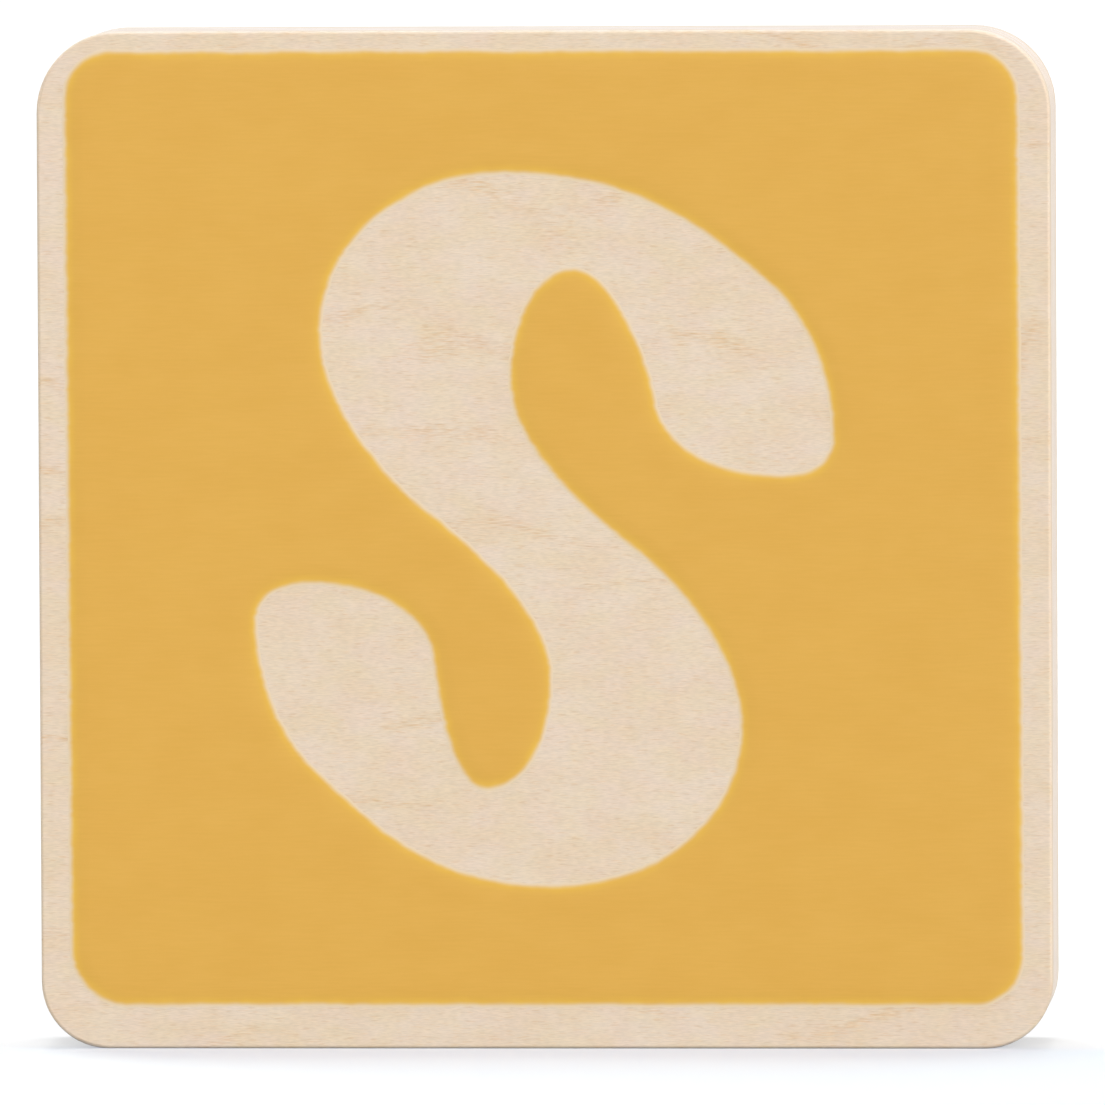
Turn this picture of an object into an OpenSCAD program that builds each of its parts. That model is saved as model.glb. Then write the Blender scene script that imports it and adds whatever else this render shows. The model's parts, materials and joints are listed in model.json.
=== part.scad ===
// Square plywood letter tile of a wooden letter train, standing on its bottom edge.
// Seen from the front, X runs to the right and Z up; the painted front faces -Y.
// The origin lies on the surface that the tile stands on, under the middle of the tile.

/* [Tile] */
// Width of the tile
tile_w = 60; // [40:1:100]
// Height of the tile
tile_h = 60.3; // [40:0.1:100]
// Radius of the two upper corners, seen from the front
top_r = 4.8; // [2:0.1:12]
// Radius of the two lower corners, seen from the front
bottom_r = 4; // [2:0.1:12]
// Radius of the sanded edges round the front and the back face
edge_r = 0.2; // [0.1:0.1:0.9]

/* [Plywood] */
// Thickness of the front and the back face veneer, with the grain across the tile
face_t = 1.2; // [1:0.1:2]
// Thickness of the two crossbands under the face veneers, with the grain upright
crossband_t = 1.2; // [0.8:0.1:2]
// Thickness of the two inner plies, with the grain across the tile
inner_t = 1.2; // [0.8:0.1:2]
// Thickness of the centre ply, with the grain upright
centre_t = 1.2; // [0.8:0.1:3]
// Thickness of the glue line between two plies
glue_t = 0.1; // [0.05:0.01:0.2]

/* [Paint] */
// Thickness of the paint panel on the front
paint_t = 0.06; // [0.05:0.01:0.2]
// Bare wood to the left of the paint panel
border_left = 1.7; // [1:0.05:6]
// Bare wood to the right of the paint panel
border_right = 1.8; // [1:0.05:6]
// Bare wood above the paint panel
border_top = 1.15; // [1:0.05:6]
// Bare wood under the paint panel
border_bottom = 2.55; // [1:0.05:6]
// Radius of the paint panel's corners
paint_corner_r = 3; // [1:0.1:8]

/* [Hidden] */
$fn = 96;

// The lay-up from the front to the back: each ply, and the glue line behind it
PLIES = [
    "front_face_veneer", "front_crossband", "front_inner_ply", "centre_ply",
    "back_inner_ply", "back_crossband", "back_face_veneer"
];
ply_t = [face_t, crossband_t, inner_t, centre_t, inner_t, crossband_t, face_t];
last_ply = len(PLIES) - 1;
GLUE_LINES = [for (i = [1 : last_ply]) str("glue_line_", i)];

// Thickness of the first plies of the lay-up together, without their glue lines
function plies_t(count) = count == 0 ? 0 : ply_t[count - 1] + plies_t(count - 1);

wood_t = plies_t(len(PLIES)) + last_ply * glue_t;
front_y = -(wood_t + paint_t) / 2;
wood_y = front_y + paint_t;

// Front of ply i, and front of the glue line behind ply i, counted from 0
function ply_y(i) = wood_y + plies_t(i) + i * glue_t;
function glue_y(i) = ply_y(i) + ply_t[i];

// The long grain of the face veneers and inner plies is paler than the upright plies
long_grain = "#e8d3bb";
upright_grain = "#d8bb94";
glue_colour = "#a9814f";
paint_colour = "#e3b054";

// Stands its child up: the child's XY plane becomes the tile's front view, its Z the depth
// from y towards the back
module stand(y) {
    translate([0, y, 0]) mirror([0, 1, 0]) rotate([90, 0, 0]) children();
}

// The centres of the left and the right corner of radius r of a w wide outline, at height y
module at_corners(w, y, r) {
    for (x = [r - w / 2, w / 2 - r]) translate([x, y]) children();
}

// A w by h rectangle that stands on the X axis, with its own radius for the upper and the lower
// corners
module round_outline(w, h, top, bottom) {
    translate([-w / 2, bottom]) square([w, h - top - bottom]);
    translate([bottom - w / 2, 0]) square([w - 2 * bottom, h / 2]);
    translate([top - w / 2, h / 2]) square([w - 2 * top, h / 2]);
    at_corners(w, bottom, bottom) circle(bottom);
    at_corners(w, h - top, top) circle(top);
}

// A flat layer with the tile's outline, t thick
module layer(t) {
    linear_extrude(t) round_outline(tile_w, tile_h, top_r, bottom_r);
}

// Section through half of a face veneer, from its middle out to its sanded edge. The quarter
// round is at the outer end of the outer face, at height 0
module edge_section(reach, t) {
    square([reach - edge_r, t]);
    translate([0, edge_r]) square([reach, t - edge_r]);
    intersection() {
        translate([reach - edge_r, edge_r]) circle(edge_r);
        translate([reach - edge_r, 0]) square(edge_r);
    }
}

// A straight stretch of face veneer, from its middle out to the sanded edge along one side
module edged_bar(length, reach, t) {
    linear_extrude(length, center = true) edge_section(reach, t);
}

// A face veneer with its sanded edge running on round the four corners
module face_veneer() {
    side_h = tile_h - top_r - bottom_r;
    translate([0, bottom_r + side_h / 2]) rotate([90, 0, 0]) {
        edged_bar(side_h, tile_w / 2, face_t);
        mirror([1, 0, 0]) edged_bar(side_h, tile_w / 2, face_t);
    }
    translate([0, tile_h / 2]) {
        rotate([90, 0, 90]) edged_bar(tile_w - 2 * top_r, tile_h / 2, face_t);
        mirror([0, 1, 0]) rotate([90, 0, 90])
            edged_bar(tile_w - 2 * bottom_r, tile_h / 2, face_t);
    }
    at_corners(tile_w, bottom_r, bottom_r) rotate_extrude() edge_section(bottom_r, face_t);
    at_corners(tile_w, tile_h - top_r, top_r) rotate_extrude() edge_section(top_r, face_t);
}

module front_face_veneer() {
    color(long_grain) stand(ply_y(0)) face_veneer();
}

module front_crossband() {
    color(upright_grain) stand(ply_y(1)) layer(crossband_t);
}

module front_inner_ply() {
    color(long_grain) stand(ply_y(2)) layer(inner_t);
}

module centre_ply() {
    color(upright_grain) stand(ply_y(3)) layer(centre_t);
}

module back_inner_ply() {
    color(long_grain) stand(ply_y(4)) layer(inner_t);
}

module back_crossband() {
    color(upright_grain) stand(ply_y(5)) layer(crossband_t);
}

// The back veneer is the front one turned round, so its sanded edge is at the back
module back_face_veneer() {
    color(long_grain) stand(ply_y(last_ply) + face_t) mirror([0, 0, 1]) face_veneer();
}

// The glue line behind ply i, counted from 0
module glue_line(i) {
    color(glue_colour) stand(glue_y(i)) layer(glue_t);
}

// The paint panel leaves a bare border of wood on all four sides
module front_paint() {
    panel_w = tile_w - border_left - border_right;
    panel_h = tile_h - border_top - border_bottom;
    color(paint_colour) stand(front_y)
        translate([(border_left - border_right) / 2, border_bottom])
            linear_extrude(paint_t)
                round_outline(panel_w, panel_h, paint_corner_r, paint_corner_r);
}

front_face_veneer();
front_crossband();
front_inner_ply();
centre_ply();
back_inner_ply();
back_crossband();
back_face_veneer();
for (i = [0 : last_ply - 1]) glue_line(i);
front_paint();
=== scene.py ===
"""Looks of the letter tile: sanded birch plywood with a printed paint panel, in a white studio.

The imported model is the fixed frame. The plies and glue lines keep their shape from it and get their
finish here. The printed paint film, with a letter left bare in it, is modelled here.
"""

import json
import logging
import math
from dataclasses import dataclass, field
from enum import Enum, IntEnum
from typing import ClassVar

import bpy
from mathutils import Matrix, Vector, noise


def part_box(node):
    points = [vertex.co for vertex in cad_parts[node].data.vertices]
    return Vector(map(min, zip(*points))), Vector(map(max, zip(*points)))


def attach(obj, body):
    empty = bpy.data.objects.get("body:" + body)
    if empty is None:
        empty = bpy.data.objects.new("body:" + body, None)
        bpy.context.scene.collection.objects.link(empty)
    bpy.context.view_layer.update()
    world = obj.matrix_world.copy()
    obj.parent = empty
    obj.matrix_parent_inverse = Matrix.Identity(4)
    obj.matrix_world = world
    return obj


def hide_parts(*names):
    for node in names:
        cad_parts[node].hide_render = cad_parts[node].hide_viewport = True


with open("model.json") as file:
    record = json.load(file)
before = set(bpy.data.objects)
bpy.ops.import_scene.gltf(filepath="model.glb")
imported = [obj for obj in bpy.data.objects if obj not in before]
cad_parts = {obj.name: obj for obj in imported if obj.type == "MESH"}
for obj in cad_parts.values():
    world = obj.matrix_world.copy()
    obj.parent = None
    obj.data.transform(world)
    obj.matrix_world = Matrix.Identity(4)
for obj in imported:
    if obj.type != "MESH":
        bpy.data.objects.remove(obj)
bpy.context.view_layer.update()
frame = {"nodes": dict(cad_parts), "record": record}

MM = 0.001
ROOT = "root"
WHITE = (1.0, 1.0, 1.0)

Colour = tuple[float, float, float]
Triple = tuple[float, float, float]
Point = tuple[float, float]
Socket = bpy.types.NodeSocket

log = logging.getLogger("letter_tile")


class Axis(IntEnum):
    """The number of a coordinate."""

    X = 0
    Y = 1
    Z = 2


class Grain(Enum):
    """Which way a ply's fibres run, as the turn about Y that brings them onto the pattern's X axis."""

    ACROSS = 0.0
    UPRIGHT = math.pi / 2


@dataclass(frozen=True)
class Ramp:
    """A soft step from start to end while the input goes from low to high."""

    low: float
    high: float
    start: float = 0.0
    end: float = 1.0


@dataclass(frozen=True)
class Speckle:
    """Soft noise around 0.5.

    Its marks have a length along the grain, one through the ply and one across the grain, in
    millimetres. The detail is the number of finer layers on top of them.
    """

    size: Triple
    detail: float = 2.0


class Wiring:
    """The node tree of a material or a world, filled by calls that return the socket to go on with."""

    MIX_SHARE = 0
    MIX_FIRST = 6
    MIX_SECOND = 7
    MIX_RESULT = 2

    def __init__(self, owner: bpy.types.Material | bpy.types.World) -> None:
        """Empties the owner's node tree.

        Args:
            owner: the material or world whose nodes these are.
        """
        owner.use_nodes = True
        self.owner = owner
        self.tree = owner.node_tree
        self.tree.nodes.clear()

    def node(self, kind: str, inputs: dict, **options: object) -> bpy.types.Node:
        """Adds a node.

        Args:
            kind: Blender's name of the node type.
            inputs: value or socket for each input, by the input's name or number.
            options: the node's own options.

        Returns:
            The new node.
        """
        made = self.tree.nodes.new(kind)
        for option, value in options.items():
            setattr(made, option, value)
        for key, value in inputs.items():
            if isinstance(value, Socket):
                self.tree.links.new(value, made.inputs[key])
            else:
                made.inputs[key].default_value = value
        return made

    def place(self, grain: Grain, offset: Triple = (0.0, 0.0, 0.0)) -> Socket:
        """The point on the piece in millimetres, with the grain along X.

        Args:
            grain: which way the fibres run.
            offset: which part of the log the piece is cut from, in millimetres.

        Returns:
            The point.
        """
        inputs = {
            "Vector": self.node("ShaderNodeTexCoord", {}).outputs["Object"],
            "Location": offset,
            "Rotation": (0, grain.value, 0),
            "Scale": (1 / MM, 1 / MM, 1 / MM),
        }
        return self.node("ShaderNodeMapping", inputs).outputs["Vector"]

    def axis(self, point: Socket, axis: Axis) -> Socket:
        """One coordinate of a point."""
        return self.node("ShaderNodeSeparateXYZ", {0: point}).outputs[axis]

    def speckle(self, point: Socket, speckle: Speckle) -> Socket:
        """The value of a noise.

        Args:
            point: where to read it, in millimetres.
            speckle: the noise.

        Returns:
            The value, mostly from 0.2 to 0.8.
        """
        steps = tuple(1 / length for length in speckle.size)
        spot = self.node("ShaderNodeVectorMath", {0: point, 1: steps}, operation="MULTIPLY").outputs[0]
        inputs = {"Vector": spot, "Scale": 1.0, "Detail": speckle.detail}
        return self.node("ShaderNodeTexNoise", inputs).outputs["Fac"]

    def math(self, operation: str, first: object, second: object = 0.0) -> Socket:
        """The result of one Math node."""
        return self.node("ShaderNodeMath", {0: first, 1: second}, operation=operation).outputs[0]

    def ramp(self, value: Socket, ramp: Ramp) -> Socket:
        """A value led through a soft step.

        Args:
            value: the input.
            ramp: the step.

        Returns:
            The result.
        """
        inputs = {
            "Value": value,
            "From Min": ramp.low,
            "From Max": ramp.high,
            "To Min": ramp.start,
            "To Max": ramp.end,
        }
        return self.node("ShaderNodeMapRange", inputs, interpolation_type="SMOOTHSTEP").outputs[0]

    def mix(self, share: object, first: object, second: object, blend: str = "MIX") -> Socket:
        """Mixes two colours.

        Args:
            share: share of the second colour.
            first: colour or socket at share 0.
            second: colour or socket at share 1.
            blend: way of mixing.

        Returns:
            The mixed colour.
        """
        first = (*first, 1.0) if isinstance(first, tuple) else first
        second = (*second, 1.0) if isinstance(second, tuple) else second
        inputs = {self.MIX_SHARE: share, self.MIX_FIRST: first, self.MIX_SECOND: second}
        made = self.node("ShaderNodeMix", inputs, data_type="RGBA", blend_type=blend)
        return made.outputs[self.MIX_RESULT]

    def tint(self, colour: object, share: object, tint: Colour) -> Socket:
        """Multiplies a share of a colour by a tint."""
        return self.mix(share, colour, tint, "MULTIPLY")

    def shade(self, colour: object, grey: Socket) -> Socket:
        """Multiplies a colour by a grey value."""
        full = self.node("ShaderNodeCombineColor", {0: grey, 1: grey, 2: grey}).outputs[0]
        return self.mix(1.0, colour, full, "MULTIPLY")

    def seen(self) -> Socket:
        """Tells the surface as one sees it from the light that it sends on to other things.

        Returns:
            1 where the camera sees the surface, also in a mirror or through glass, and 0 elsewhere.
        """
        path = self.node("ShaderNodeLightPath", {}).outputs
        plain = self.math("MAXIMUM", path["Is Camera Ray"], path["Is Glossy Ray"])
        return self.math("MAXIMUM", plain, path["Is Transmission Ray"])

    def end(self, kind: str, shader: Socket) -> None:
        """Ends the tree with its output node."""
        self.node(kind, {"Surface": shader})


@dataclass(frozen=True)
class Sheen:
    """How light leaves a matte surface.

    The roughness follows the fine relief, whose height is in millimetres. The gloss is the shader's
    specular level.
    """

    roughness: Ramp
    relief: float
    gloss: float

    def finish(self, wiring: Wiring, colour: Socket, height: Socket) -> bpy.types.Material:
        """Ends a material's tree with this surface.

        Args:
            wiring: the material's tree.
            colour: colour of the surface.
            height: fine relief around 0.5.

        Returns:
            The finished material.
        """
        bump = {"Height": height, "Distance": self.relief * MM, "Strength": 1.0}
        inputs = {
            "Base Color": colour,
            "Roughness": wiring.ramp(height, self.roughness),
            "Specular IOR Level": self.gloss,
            "Normal": wiring.node("ShaderNodeBump", bump).outputs["Normal"],
        }
        shader = wiring.node("ShaderNodeBsdfPrincipled", inputs)
        wiring.end("ShaderNodeOutputMaterial", shader.outputs["BSDF"])
        return wiring.owner


@dataclass(frozen=True)
class BirchFinish:
    """Sanded birch veneer: soft patches, fine fibres, short pores and faint growth ring lines.

    The dashes make the pores and break up the lines of the growth rings. An edge that is cut across the
    fibres has the end tint. One that is cut along them, such as the top and bottom edges of a ply whose
    grain runs across, gets a paler, bluer painted sheen that stands in for the strong top light and its
    grazing reflection.
    """

    AXES: ClassVar[tuple[Triple, Triple]] = ((1.0, 0.0, 0.0), (0.0, 0.0, 1.0))

    grain: Grain
    pale: Colour
    warm: Colour
    patches: Speckle = Speckle((7.0, 2.5, 3.0))
    patch_share: Ramp = Ramp(0.36, 0.64)
    blush: Colour = (1.0, 0.977, 0.985)
    blush_spots: Speckle = Speckle((2.4, 1.6, 1.6), 1.0)
    straw: Colour = (0.995, 0.992, 0.935)
    straw_spots: Speckle = Speckle((2.0, 1.4, 1.3), 1.0)
    spot_share: Ramp = Ramp(0.36, 0.64)
    fibres: Speckle = Speckle((0.42, 0.065, 0.065), 2.0)
    fibre_shade: Ramp = Ramp(0.25, 0.75, 0.94, 1.05)
    strands: Speckle = Speckle((0.9, 0.11, 0.11), 1.0)
    strand_shade: Ramp = Ramp(0.3, 0.7, 0.982, 1.014)
    dashes: Speckle = Speckle((0.8, 0.08, 0.08), 1.0)
    pore_share: Ramp = Ramp(0.56, 0.74)
    pore_tint: Colour = (0.95, 0.88, 0.78)
    swirls: Speckle = Speckle((18.0, 14.0, 10.0), 1.0)
    swirl_height: float = 3.4
    ring_depth: float = 3.2
    ring_gap: float = 6.5
    ring_wander: float = 0.2
    ring_rise: Ramp = Ramp(0.38, 0.5)
    ring_fall: Ramp = Ramp(0.62, 0.5)
    ring_dash_share: Ramp = Ramp(0.34, 0.6)
    ring_spell: Speckle = Speckle((9.0, 5.0, 6.0), 1.0)
    ring_spell_share: Ramp = Ramp(0.42, 0.6)
    ring_tint: Colour = (0.955, 0.872, 0.755)
    edge_cut: Ramp = Ramp(0.3, 0.9)
    end_tint: Colour = (0.94, 0.92, 0.895)
    # Painted sheen: a paler, bluer colour on edges cut along the fibres, standing in for top light and
    # grazing reflection
    painted_sheen_tint: Colour = (0.97, 1.06, 1.2)
    stain_reach: float = 0.14
    stain_tint: Colour = (0.80, 0.69, 0.55)
    sheen: Sheen = Sheen(Ramp(0.2, 0.8, 0.6, 0.48), 0.004, 0.5)

    def material(self, name: str, offset: Triple, glued: Point) -> bpy.types.Material:
        """Makes the finish for one ply.

        Args:
            name: name of the material.
            offset: which part of the log the ply is peeled from, in millimetres.
            glued: where the ply's glued faces lie along Y, in millimetres.

        Returns:
            The material.
        """
        wiring = Wiring(bpy.data.materials.new(name))
        point = wiring.place(self.grain, offset)
        fibre = wiring.speckle(point, self.fibres)
        strand = wiring.speckle(point, self.strands)
        patch = wiring.ramp(wiring.speckle(point, self.patches), self.patch_share)
        tone = wiring.mix(patch, self.pale, self.warm)
        for spots, tint in ((self.blush_spots, self.blush), (self.straw_spots, self.straw)):
            tone = wiring.tint(tone, wiring.ramp(wiring.speckle(point, spots), self.spot_share), tint)
        dash = wiring.speckle(point, self.dashes)
        tone = wiring.tint(tone, self._rings(wiring, point, strand, dash), self.ring_tint)
        tone = wiring.tint(tone, wiring.ramp(dash, self.pore_share), self.pore_tint)
        tone = wiring.shade(tone, wiring.ramp(fibre, self.fibre_shade))
        tone = wiring.shade(tone, wiring.ramp(strand, self.strand_shade))
        ends, sides = self.AXES if self.grain is Grain.ACROSS else reversed(self.AXES)
        tone = wiring.tint(tone, self._facing(wiring, ends), self.end_tint)
        # Painted sheen on the faces cut along the fibres, not a colour of the wood
        tone = wiring.tint(tone, self._facing(wiring, sides), self.painted_sheen_tint)
        stain = self._glue_stain(wiring, point, strand, offset, glued)
        tone = wiring.tint(tone, stain, self.stain_tint)
        return self.sheen.finish(wiring, tone, fibre)

    def _rings(self, wiring: Wiring, point: Socket, strand: Socket, dash: Socket) -> Socket:
        """Share of late wood: trails of dashes where the peeled veneer cuts a growth ring.

        Args:
            wiring: the material's tree.
            point: the point on the ply, in millimetres.
            strand: noise of the longer fibres, which frays the trails.
            dash: noise of the dashes.

        Returns:
            The share.
        """
        swirl = wiring.math("MULTIPLY", wiring.speckle(point, self.swirls), self.swirl_height)
        depth = wiring.math("DIVIDE", wiring.axis(point, Axis.Y), self.ring_depth)
        across = wiring.math("DIVIDE", wiring.axis(point, Axis.Z), self.ring_gap)
        wander = wiring.math("MULTIPLY", strand, self.ring_wander)
        inward = wiring.math("ADD", swirl, depth)
        level = wiring.math("ADD", inward, wiring.math("ADD", across, wander))
        ring = wiring.math("FRACT", level)
        rise = wiring.ramp(ring, self.ring_rise)
        line = wiring.math("MULTIPLY", rise, wiring.ramp(ring, self.ring_fall))
        spell = wiring.ramp(wiring.speckle(point, self.ring_spell), self.ring_spell_share)
        dashed = wiring.math("MULTIPLY", line, wiring.ramp(dash, self.ring_dash_share))
        return wiring.math("MULTIPLY", dashed, spell)

    def _facing(self, wiring: Wiring, axis: Triple) -> Socket:
        """How squarely the surface faces along an axis, either way.

        Args:
            wiring: the material's tree.
            axis: the axis.

        Returns:
            The share, from 0 to 1.
        """
        normal = wiring.node("ShaderNodeTexCoord", {}).outputs["Normal"]
        facing = wiring.node("ShaderNodeVectorMath", {0: normal, 1: axis}, operation="DOT_PRODUCT")
        return wiring.ramp(wiring.math("ABSOLUTE", facing.outputs["Value"]), self.edge_cut)

    def _glue_stain(self, wiring: Wiring, point: Socket, strand: Socket, offset: Triple,
                    glued: Point) -> Socket:
        """Share of wood that glue has soaked into, along the ply's glued faces.

        Args:
            wiring: the material's tree.
            point: the point on the ply, in millimetres.
            strand: noise of the longer fibres, which the glue follows.
            offset: the shift that the point has, in millimetres.
            glued: where the glued faces lie along Y, in millimetres.

        Returns:
            The share.
        """
        front, back = glued
        depth = wiring.math("SUBTRACT", wiring.axis(point, Axis.Y), offset[Axis.Y])
        from_front = wiring.math("SUBTRACT", depth, front)
        from_back = wiring.math("SUBTRACT", back, depth)
        nearest = wiring.math("MINIMUM", from_front, from_back)
        dry = wiring.math("SUBTRACT", nearest, wiring.math("MULTIPLY", strand, self.stain_reach))
        return wiring.ramp(dry, Ramp(self.stain_reach / 2, -self.stain_reach / 2))


@dataclass(frozen=True)
class GlueFinish:
    """Cured glue between two plies, darker where it is thick."""

    thin: Colour = (0.52, 0.38, 0.24)
    thick: Colour = (0.33, 0.21, 0.11)
    blots: Speckle = Speckle((2.5, 0.3, 2.5), 4.0)
    thickness: Ramp = Ramp(0.35, 0.7)
    sheen: Sheen = Sheen(Ramp(0.3, 0.7, 0.62, 0.48), 0.01, 0.45)

    def material(self, name: str, offset: Triple) -> bpy.types.Material:
        """Makes the finish for one glue line.

        Args:
            name: name of the material.
            offset: shift of the pattern, in millimetres.

        Returns:
            The material.
        """
        wiring = Wiring(bpy.data.materials.new(name))
        blot = wiring.speckle(wiring.place(Grain.ACROSS, offset), self.blots)
        tone = wiring.mix(wiring.ramp(blot, self.thickness), self.thin, self.thick)
        return self.sheen.finish(wiring, tone, blot)


@dataclass(frozen=True)
class PaintFinish:
    """Matte printing paint that shows the wood's fibres, brighter along its rim, thin at its edge."""

    body: Colour = (0.754, 0.418, 0.064)
    deep: Colour = (0.740, 0.405, 0.059)
    mottle: Speckle = Speckle((4.0, 4.0, 2.5), 3.0)
    mottle_share: Ramp = Ramp(0.3, 0.7)
    fibres: Speckle = Speckle((1.6, 0.12, 0.12), 2.0)
    fibre_shade: Ramp = Ramp(0.25, 0.75, 0.987, 1.011)
    rim: Colour = (0.822, 0.496, 0.056)
    rim_share: Ramp = Ramp(0.0, 0.6)
    rim_patches: Speckle = Speckle((1.6, 1.6, 1.6), 2.0)
    rim_patch_share: Ramp = Ramp(0.3, 0.7, 0.5, 1.0)
    thin: Colour = (0.815, 0.650, 0.450)
    thin_share: Ramp = Ramp(0.33, 1.0)
    sheen: Sheen = Sheen(Ramp(0.2, 0.8, 0.66, 0.56), 0.004, 0.4)

    def material(self, name: str, edge_mark: str) -> bpy.types.Material:
        """Makes the paint.

        Args:
            name: name of the material.
            edge_mark: the film's attribute that goes from 0 well inside it to 1 at its very edge.

        Returns:
            The material.
        """
        wiring = Wiring(bpy.data.materials.new(name))
        point = wiring.place(Grain.ACROSS)
        fibre = wiring.speckle(point, self.fibres)
        mottle = wiring.ramp(wiring.speckle(point, self.mottle), self.mottle_share)
        tone = wiring.mix(mottle, self.body, self.deep)
        tone = wiring.shade(tone, wiring.ramp(fibre, self.fibre_shade))
        edge = wiring.node("ShaderNodeAttribute", {}, attribute_name=edge_mark).outputs["Fac"]
        patch = wiring.ramp(wiring.speckle(point, self.rim_patches), self.rim_patch_share)
        bright = wiring.math("MULTIPLY", wiring.ramp(edge, self.rim_share), patch)
        tone = wiring.mix(bright, tone, self.rim)
        tone = wiring.mix(wiring.ramp(edge, self.thin_share), tone, self.thin)
        return self.sheen.finish(wiring, tone, fibre)


SAWN = Sheen(Ramp(0.2, 0.8, 0.42, 0.34), 0.01, 0.5)


@dataclass
class PlyStack:
    """The plies and glue lines of the board, from the front to the back."""

    face: BirchFinish = BirchFinish(
        Grain.ACROSS, (0.797, 0.654, 0.514), (0.787, 0.635, 0.476), end_tint=(0.90, 0.90, 0.90)
    )
    core: BirchFinish = BirchFinish(
        Grain.ACROSS, (0.830, 0.734, 0.658), (0.812, 0.702, 0.614), sheen=SAWN
    )
    cross: BirchFinish = BirchFinish(
        Grain.UPRIGHT, (0.815, 0.715, 0.632), (0.792, 0.680, 0.586), painted_sheen_tint=WHITE, sheen=SAWN
    )
    glue: GlueFinish = GlueFinish()
    log_step: Triple = (37.0, 0.0, 23.0)
    front: str = "front_face_veneer"
    back: str = "back_face_veneer"
    far: float = 1000.0

    def dress(self) -> None:
        """Gives every ply and glue line its finish."""
        finishes = {"face_wood": self.face, "core_wood": self.core, "cross_wood": self.cross}
        slots = {row["node"]: row["material_slot"] for row in frame["record"]["subparts"]}
        for number, (name, slot) in enumerate(sorted(slots.items())):
            offset = tuple(step * number for step in self.log_step)
            if slot in finishes:
                made = finishes[slot].material(name, offset, self._glued_faces(name))
            elif slot == "glue":
                made = self.glue.material(name, offset)
            else:
                continue
            piece = frame["nodes"][name]
            piece.data.materials.clear()
            piece.data.materials.append(made)
            log.info("dressed %s as %s", name, slot)

    def _glued_faces(self, name: str) -> Point:
        """Where along Y a ply is glued to its neighbours, in millimetres.

        Args:
            name: the ply's node.

        Returns:
            Its front and its back. A free face counts as far away.
        """
        low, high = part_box(name)
        front = -self.far if name == self.front else low.y / MM
        back = self.far if name == self.back else high.y / MM
        return front, back


@dataclass(frozen=True)
class Anchor:
    """A point of an outline with its two handles, measured from it. Millimetres, X and Z."""

    at: Point
    back: Point
    ahead: Point


@dataclass
class Letter:
    """A heavy slanted capital S, in millimetres.

    Half of its outline is drawn from the letter's middle, and the other half is that half turned round.
    Both terminals are then shifted to the right.
    """

    middle: Point = (-0.8, 30.8)
    terminal_shift: float = 0.8
    spine: tuple[Anchor, ...] = (
        Anchor((2.6, 15.5), (2.4, 0.0), (-2.4, 0.0)),
        Anchor((-1.3, 8.8), (0.0, 3.4), (0.0, -3.4)),
        Anchor((5.8, -1.0), (-3.6, 2.8), (3.6, -2.8)),
        Anchor((12.3, -11.6), (0.0, 3.6), (0.0, -5.6)),
        Anchor((1.4, -21.0), (5.8, 0.0), (-7.4, 0.0)),
    )
    terminal: tuple[Anchor, ...] = (
        Anchor((-13.8, -14.0), (4.2, -3.8), (-2.4, 2.6)),
        Anchor((-17.0, -5.4), (0.0, -2.6), (0.0, 1.4)),
        Anchor((-14.0, -3.3), (-1.8, 0.0), (4.0, 0.0)),
        Anchor((-6.8, -7.2), (-0.6, 2.2), (0.4, -2.8)),
    )

    def anchors(self) -> list[Anchor]:
        """The whole outline in the tile's front view.

        Returns:
            Its anchors, all the way round.
        """
        found = []
        for sign in (1, -1):
            for anchor in self.spine:
                found.append(self._placed(anchor, sign, 0.0))
            for anchor in self.terminal:
                found.append(self._placed(anchor, sign, self.terminal_shift))
        return found

    def _placed(self, anchor: Anchor, sign: int, shift: float) -> Anchor:
        """Brings an anchor from the letter's middle to its place on the tile.

        Args:
            anchor: the anchor, measured from the letter's middle.
            sign: 1 as drawn, -1 turned half round.
            shift: move to the right after that.

        Returns:
            The placed anchor.
        """
        (x, z), (middle_x, middle_z) = anchor.at, self.middle
        at = (middle_x + sign * x + shift, middle_z + sign * z)
        back = tuple(sign * length for length in anchor.back)
        ahead = tuple(sign * length for length in anchor.ahead)
        return Anchor(at, back, ahead)


@dataclass(frozen=True)
class FilmStep:
    """A step of the film's edge.

    It has a width in millimetres, a share of the film's height, and a mark for the paint that goes from
    1 at the very edge to 0 well inside it.
    """

    width: float
    share: float
    edge: float


@dataclass(frozen=True)
class Ripple:
    """A waver of the film's edge.

    It has a reach, a length along the grain and one across it, in millimetres. The layer picks the noise
    that it follows.
    """

    reach: float
    along: float
    across: float
    layer: float

    def at(self, x: float, z: float) -> float:
        """The waver's move at a point of the front view."""
        return self.reach * noise.noise(Vector((x / self.along, z / self.across, self.layer)))


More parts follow.
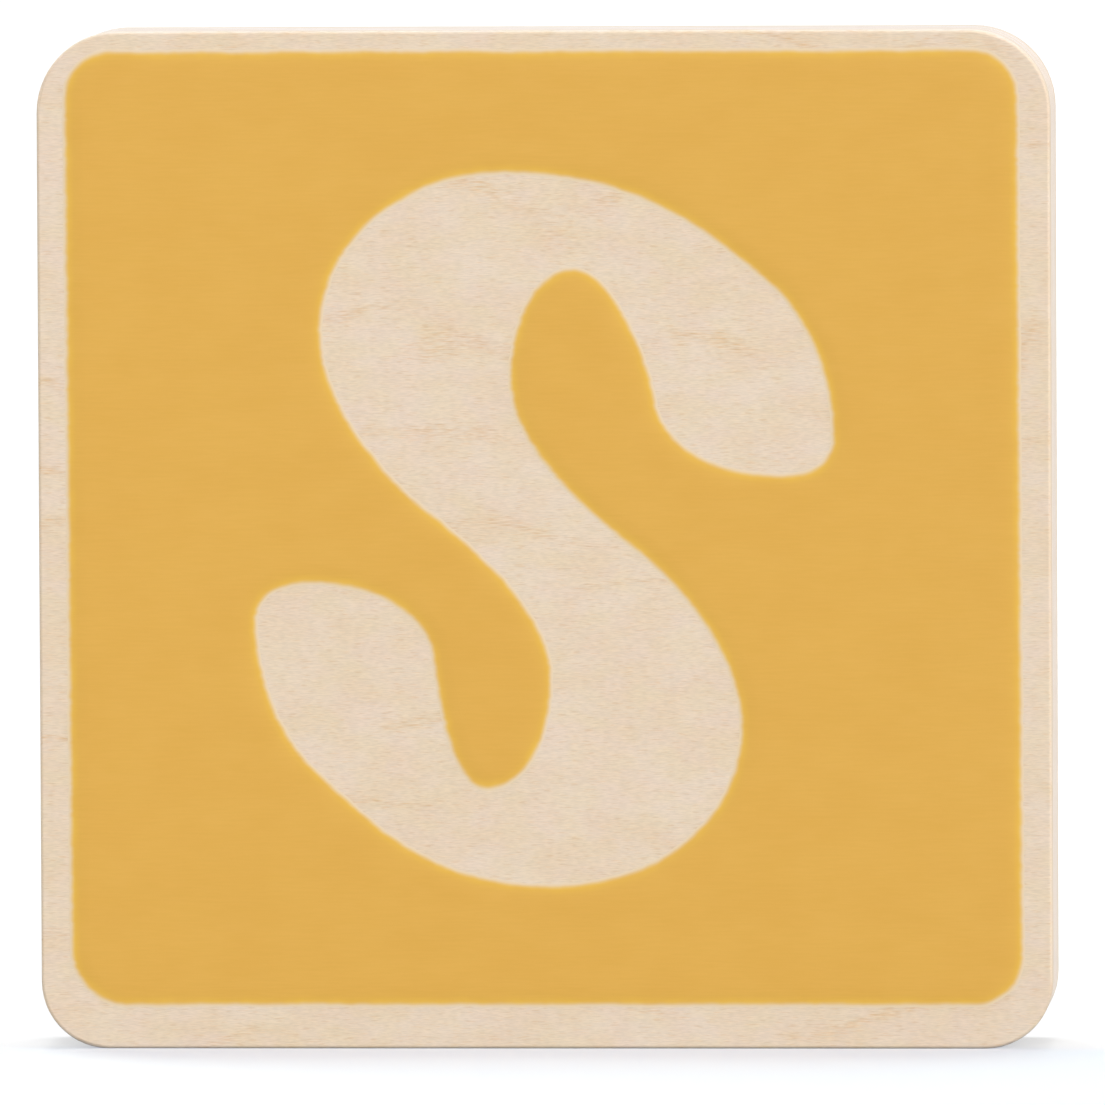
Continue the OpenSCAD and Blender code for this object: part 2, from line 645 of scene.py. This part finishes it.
@dataclass
class PaintPanel:
    """The printed paint film on the front, with the letter left bare in it.

    The film is modelled in millimetres on a wood face at Y = 0 and then brought to its place in metres.
    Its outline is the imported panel's, with ink that has bled past it and a lean of the upright sides to
    the left. The corner radii start at the lower left corner and go on to the lower right one.
    """

    letter: Letter = field(default_factory=Letter)
    finish: PaintFinish = PaintFinish()
    lean: float = 0.18
    bleed: float = 0.08
    corner_radii: tuple[float, ...] = (3.45, 3.0, 2.9, 2.85)
    arc_handle: float = 4 / 3 * (math.sqrt(2) - 1)
    steps: tuple[FilmStep, ...] = (
        FilmStep(0.00, 0.08, 1.00),
        FilmStep(0.08, 0.15, 0.85),
        FilmStep(0.10, 0.24, 0.65),
        FilmStep(0.12, 0.35, 0.45),
        FilmStep(0.16, 0.50, 0.30),
        FilmStep(0.22, 0.68, 0.10),
        FilmStep(0.50, 1.00, 0.00),
        FilmStep(0.06, 1.00, 0.00),
    )
    underside: float = 0.002
    runs: tuple[Ripple, ...] = (Ripple(0.05, 3.0, 0.6, 3), Ripple(0.05, 1.0, 0.25, 7))
    rises: tuple[Ripple, ...] = (
        Ripple(0.06, 2.6, 1.5, 13),
        Ripple(0.04, 1.1, 1.5, 17),
        Ripple(0.03, 0.45, 0.6, 19),
    )
    smooth_angle: float = math.radians(50)
    curve_steps: int = 48
    spacing: float = 0.2
    node: str = "front_paint"
    slot: str = "paint"
    edge_mark: str = "paint_edge"

    def build(self) -> bpy.types.Object:
        """Models the film and gives it its paint.

        Returns:
            The finished film.
        """
        film = self._outlines()
        self._even_out(film)
        self._fill(film)
        self._raise_rim(film)
        self._mark_edge(film)
        self._roughen(film)
        self._close(film)
        film.data.materials.append(self.finish.material(self.node, self.edge_mark))
        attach(film, ROOT)
        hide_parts(self.node)
        log.info("built %s with %d faces", film.name, len(film.data.polygons))
        return film

    def _outlines(self) -> bpy.types.Object:
        """Draws the panel's and the letter's outline.

        Returns:
            The two outlines as a mesh of edges, at the height of the film's underside.
        """
        bpy.ops.object.select_all(action="DESELECT")
        bpy.ops.curve.primitive_bezier_circle_add()
        drawn = bpy.context.object
        drawn.name = "paint_film"
        drawn.data.dimensions = "3D"
        drawn.data.splines.clear()
        for anchors in (self._panel_anchors(), self.letter.anchors()):
            spline = drawn.data.splines.new("BEZIER")
            spline.use_cyclic_u = True
            spline.resolution_u = self.curve_steps
            spline.bezier_points.add(len(anchors) - 1)
            for knot, anchor in zip(spline.bezier_points, anchors):
                (x, z), (back_x, back_z), (ahead_x, ahead_z) = anchor.at, anchor.back, anchor.ahead
                knot.handle_left_type = "FREE"
                knot.handle_right_type = "FREE"
                knot.co = (x, -self.underside, z)
                knot.handle_left = knot.co + Vector((back_x, 0, back_z))
                knot.handle_right = knot.co + Vector((ahead_x, 0, ahead_z))
        bpy.ops.object.convert(target="MESH")
        return bpy.context.object

    def _panel_anchors(self) -> list[Anchor]:
        """The panel's outline: straight sides that lean a little, and round corners.

        Returns:
            Its anchors, two to each corner.
        """
        spread = Vector((self.bleed, 0, self.bleed))
        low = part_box(self.node)[0] / MM - spread
        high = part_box(self.node)[1] / MM + spread
        tilt = self.lean / 2
        corners = [
            Vector((low.x + tilt, low.z)),
            Vector((high.x + tilt, low.z)),
            Vector((high.x - tilt, high.z)),
            Vector((low.x - tilt, high.z)),
        ]
        found = []
        for number, corner in enumerate(corners):
            radius = self.corner_radii[number]
            before = (corner - corners[number - 1]).normalized()
            after = (corners[(number + 1) % len(corners)] - corner).normalized()
            arc = self.arc_handle * radius
            start = corner - radius * before
            end = corner + radius * after
            for at, way in ((start, before), (end, after)):
                found.append(Anchor(tuple(at), tuple(-arc * way), tuple(arc * way)))
        return found

    def _even_out(self, film: bpy.types.Object) -> None:
        """Halves long edges until none is longer than the spacing.

        Args:
            film: the film's outlines.
        """
        while True:
            bpy.ops.object.mode_set(mode="OBJECT")
            points = film.data.vertices
            long = 0
            for edge in film.data.edges:
                first, second = edge.vertices
                edge.select = (points[first].co - points[second].co).length > self.spacing
                long += edge.select
            if not long:
                return
            bpy.ops.object.mode_set(mode="EDIT")
            bpy.ops.mesh.select_mode(type="EDGE")
            bpy.ops.mesh.subdivide(number_cuts=1)

    def _fill(self, film: bpy.types.Object) -> None:
        """Fills the panel around the letter, with as few faces as go round a window.

        Args:
            film: the film's outlines.
        """
        bpy.ops.object.mode_set(mode="EDIT")
        bpy.ops.mesh.select_mode(type="EDGE")
        bpy.ops.mesh.select_all(action="SELECT")
        bpy.ops.mesh.fill(use_beauty=True)
        bpy.ops.mesh.select_all(action="SELECT")
        bpy.ops.mesh.region_to_loop()
        bpy.ops.mesh.select_all(action="INVERT")
        bpy.ops.mesh.dissolve_edges(use_verts=False)
        bpy.ops.object.mode_set(mode="OBJECT")

    def _height(self, step: FilmStep) -> float:
        """How far the film stands off the wood at a step of its edge."""
        low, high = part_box(self.node)
        return step.share * (high.y - low.y) / MM

    def _raise_rim(self, film: bpy.types.Object) -> None:
        """Raises the film off the wood in the steps of its edge.

        The faces that are there stay as its underside.

        Args:
            film: the film, filled at its underside.
        """
        turned = film.data.polygons[0].normal.y > 0
        heights = [self.underside] + [self._height(step) for step in self.steps]
        bpy.ops.object.mode_set(mode="EDIT")
        bpy.ops.mesh.select_mode(type="FACE")
        bpy.ops.mesh.select_all(action="SELECT")
        if turned:
            bpy.ops.mesh.flip_normals()
        for step, height, below in zip(self.steps, heights[1:], heights):
            if step.width:
                bpy.ops.mesh.inset(thickness=step.width, depth=height - below)
            else:
                lift = {"value": (0, below - height, 0)}
                bpy.ops.mesh.extrude_region_move(TRANSFORM_OT_translate=lift)
        bpy.ops.object.mode_set(mode="OBJECT")

    def _mark_edge(self, film: bpy.types.Object) -> None:
        """Writes how near the film's edge each point is, for the paint.

        Args:
            film: the film with its rim.
        """
        levels = [(self._height(step), step.edge) for step in self.steps]
        marks = film.data.attributes.new(self.edge_mark, "FLOAT", "POINT")
        for point, mark in zip(film.data.vertices, marks.data):
            mark.value = min(levels, key=lambda level: abs(level[0] + point.co.y))[1]

    def _roughen(self, film: bpy.types.Object) -> None:
        """Lets the rim waver along the fibres, as ink does on wood.

        Args:
            film: the film with its rim.
        """
        for point in film.data.vertices:
            x = point.co.x
            z = point.co.z
            point.co.x += sum(ripple.at(x, z) for ripple in self.runs)
            point.co.z += sum(ripple.at(x, z) for ripple in self.rises)

    def _close(self, film: bpy.types.Object) -> None:
        """Turns all faces outwards, smooths the shading and sets the film on the wood.

        Args:
            film: the film, whole but in millimetres.
        """
        bpy.ops.object.mode_set(mode="EDIT")
        bpy.ops.mesh.select_all(action="SELECT")
        bpy.ops.mesh.normals_make_consistent(inside=False)
        bpy.ops.object.mode_set(mode="OBJECT")
        bpy.ops.object.shade_smooth_by_angle(angle=self.smooth_angle)
        film.scale = (MM, MM, MM)
        film.location.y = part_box(self.node)[1].y
        bpy.ops.object.transform_apply(location=True, rotation=True, scale=True)


@dataclass(frozen=True)
class Sun:
    """A broad, even light: its name, its strength, how wide it is, and where it comes from."""

    name: str
    energy: float
    angle: float
    source: Triple

    def hang(self) -> None:
        """Makes the light."""
        bpy.ops.object.light_add(type="SUN", location=self.source)
        made = bpy.context.object
        made.name = self.name
        made.data.energy = self.energy
        made.data.angle = self.angle
        made.rotation_mode = "QUATERNION"
        made.rotation_quaternion = Vector(self.source).to_track_quat("Z", "Y")


@dataclass
class Studio:
    """The white surface that the tile stands on, the light, and the camera.

    The surface goes over from its front look to its back look, in colour and in painted glow, at the
    depth that the glow turn gives, in millimetres. The camera's lens and sensor are in millimetres too,
    and the rest is in metres.
    """

    yaw: float = math.radians(3.66)
    pitch: float = math.radians(3.16)
    roll: float = math.radians(-0.27)
    distance: float = 1.2
    aim: Triple = (0.0002, 0.0, 0.02918)
    lens: float = 658.6
    sensor: float = 36.0
    view_end: float = 100.0
    floor_size: float = 16.0
    # Seen floor colours and painted glow, front and back: the glow lightens and cools the shadows; the
    # yellowish front colour offsets its blue
    floor_front: Colour = (0.935, 0.946, 0.79)
    floor_back: Colour = (0.50, 0.50, 0.50)
    painted_glow_front: Colour = (0.0, 0.07, 0.30)
    painted_glow_back: Colour = (0.51, 0.52, 0.53)
    painted_glow_turn: Ramp = Ramp(-8.0, -2.0)
    floor_unseen: Colour = (0.04, 0.04, 0.04)
    sky: float = 0.3
    sky_seen: float = 1.0
    suns: tuple[Sun, ...] = (
        Sun("top", 0.47, math.radians(14), (0.0, 0.09, 1.0)),
        Sun("overhead", 1.0, math.radians(36), (0.0, 0.25, 1.0)),
        Sun("front_fill", 2.22, math.radians(40), (0.0, -1.0, 0.2)),
        Sun("back_fill", 0.9, math.radians(40), (-0.7, 1.0, 0.5)),
        Sun("left_fill", 0.82, math.radians(40), (-1.0, -0.3, 0.15)),
        Sun("right_fill", 2.9, math.radians(20), (1.0, -0.2, 0.08)),
    )

    def build(self) -> None:
        """Makes the floor, the light and the camera."""
        bpy.context.scene.view_settings.view_transform = "Standard"
        self._floor()
        self._world()
        for sun in self.suns:
            sun.hang()
        self._camera()
        log.info("set up the studio")

    def _floor(self) -> None:
        """Lays the floor.

        Where it is seen it is white, and it has a painted glow of its own that lightens its shadows and
        cools them, bluish in front of the tile and grey behind it.
        """
        bpy.ops.object.select_all(action="DESELECT")
        bpy.ops.mesh.primitive_plane_add(size=self.floor_size)
        floor = bpy.context.object
        floor.name = "floor"
        wiring = Wiring(bpy.data.materials.new("floor"))
        seen = wiring.seen()
        depth = wiring.axis(wiring.place(Grain.ACROSS), Axis.Y)
        behind = wiring.ramp(depth, self.painted_glow_turn)
        white = wiring.mix(behind, self.floor_front, self.floor_back)
        colour = wiring.mix(seen, self.floor_unseen, white)
        plain = wiring.node("ShaderNodeBsdfDiffuse", {"Color": colour}).outputs["BSDF"]
        # Painted glow that lightens and cools the floor's shadows where the camera sees it
        glow = wiring.mix(behind, self.painted_glow_front, self.painted_glow_back)
        painted_glow = wiring.node("ShaderNodeEmission", {"Color": glow, "Strength": seen})
        shader = wiring.node("ShaderNodeAddShader", {0: plain, 1: painted_glow.outputs["Emission"]})
        wiring.end("ShaderNodeOutputMaterial", shader.outputs["Shader"])
        floor.data.materials.append(wiring.owner)

    def _world(self) -> None:
        """Surrounds the tile with even light that looks white where it is seen or mirrored."""
        world = bpy.data.worlds.new("studio")
        bpy.context.scene.world = world
        wiring = Wiring(world)
        strength = wiring.ramp(wiring.seen(), Ramp(0.0, 1.0, self.sky, self.sky_seen))
        glow = wiring.node("ShaderNodeBackground", {"Color": (*WHITE, 1.0), "Strength": strength})
        wiring.end("ShaderNodeOutputWorld", glow.outputs["Background"])

    def _camera(self) -> None:
        """Sets the camera where the photograph was taken from."""
        flat = math.cos(self.pitch)
        ahead = Vector((-math.sin(self.yaw) * flat, math.cos(self.yaw) * flat, -math.sin(self.pitch)))
        right = Vector((math.cos(self.yaw), math.sin(self.yaw), 0))
        up = right.cross(ahead)
        across = math.cos(self.roll) * right + math.sin(self.roll) * up
        upright = math.cos(self.roll) * up - math.sin(self.roll) * right
        bpy.ops.object.camera_add()
        camera = bpy.context.object
        turn = Matrix((across, upright, -ahead)).transposed().to_4x4()
        camera.matrix_world = Matrix.Translation(Vector(self.aim) - self.distance * ahead) @ turn
        camera.data.lens = self.lens
        camera.data.sensor_width = self.sensor
        camera.data.clip_end = self.view_end
        bpy.context.scene.camera = camera


def main() -> None:
    """Dresses the plies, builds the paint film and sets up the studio."""
    PlyStack().dress()
    PaintPanel().build()
    Studio().build()


if __name__ == "__main__":
    logging.basicConfig(level=logging.INFO, format="%(name)s: %(message)s")
    main()
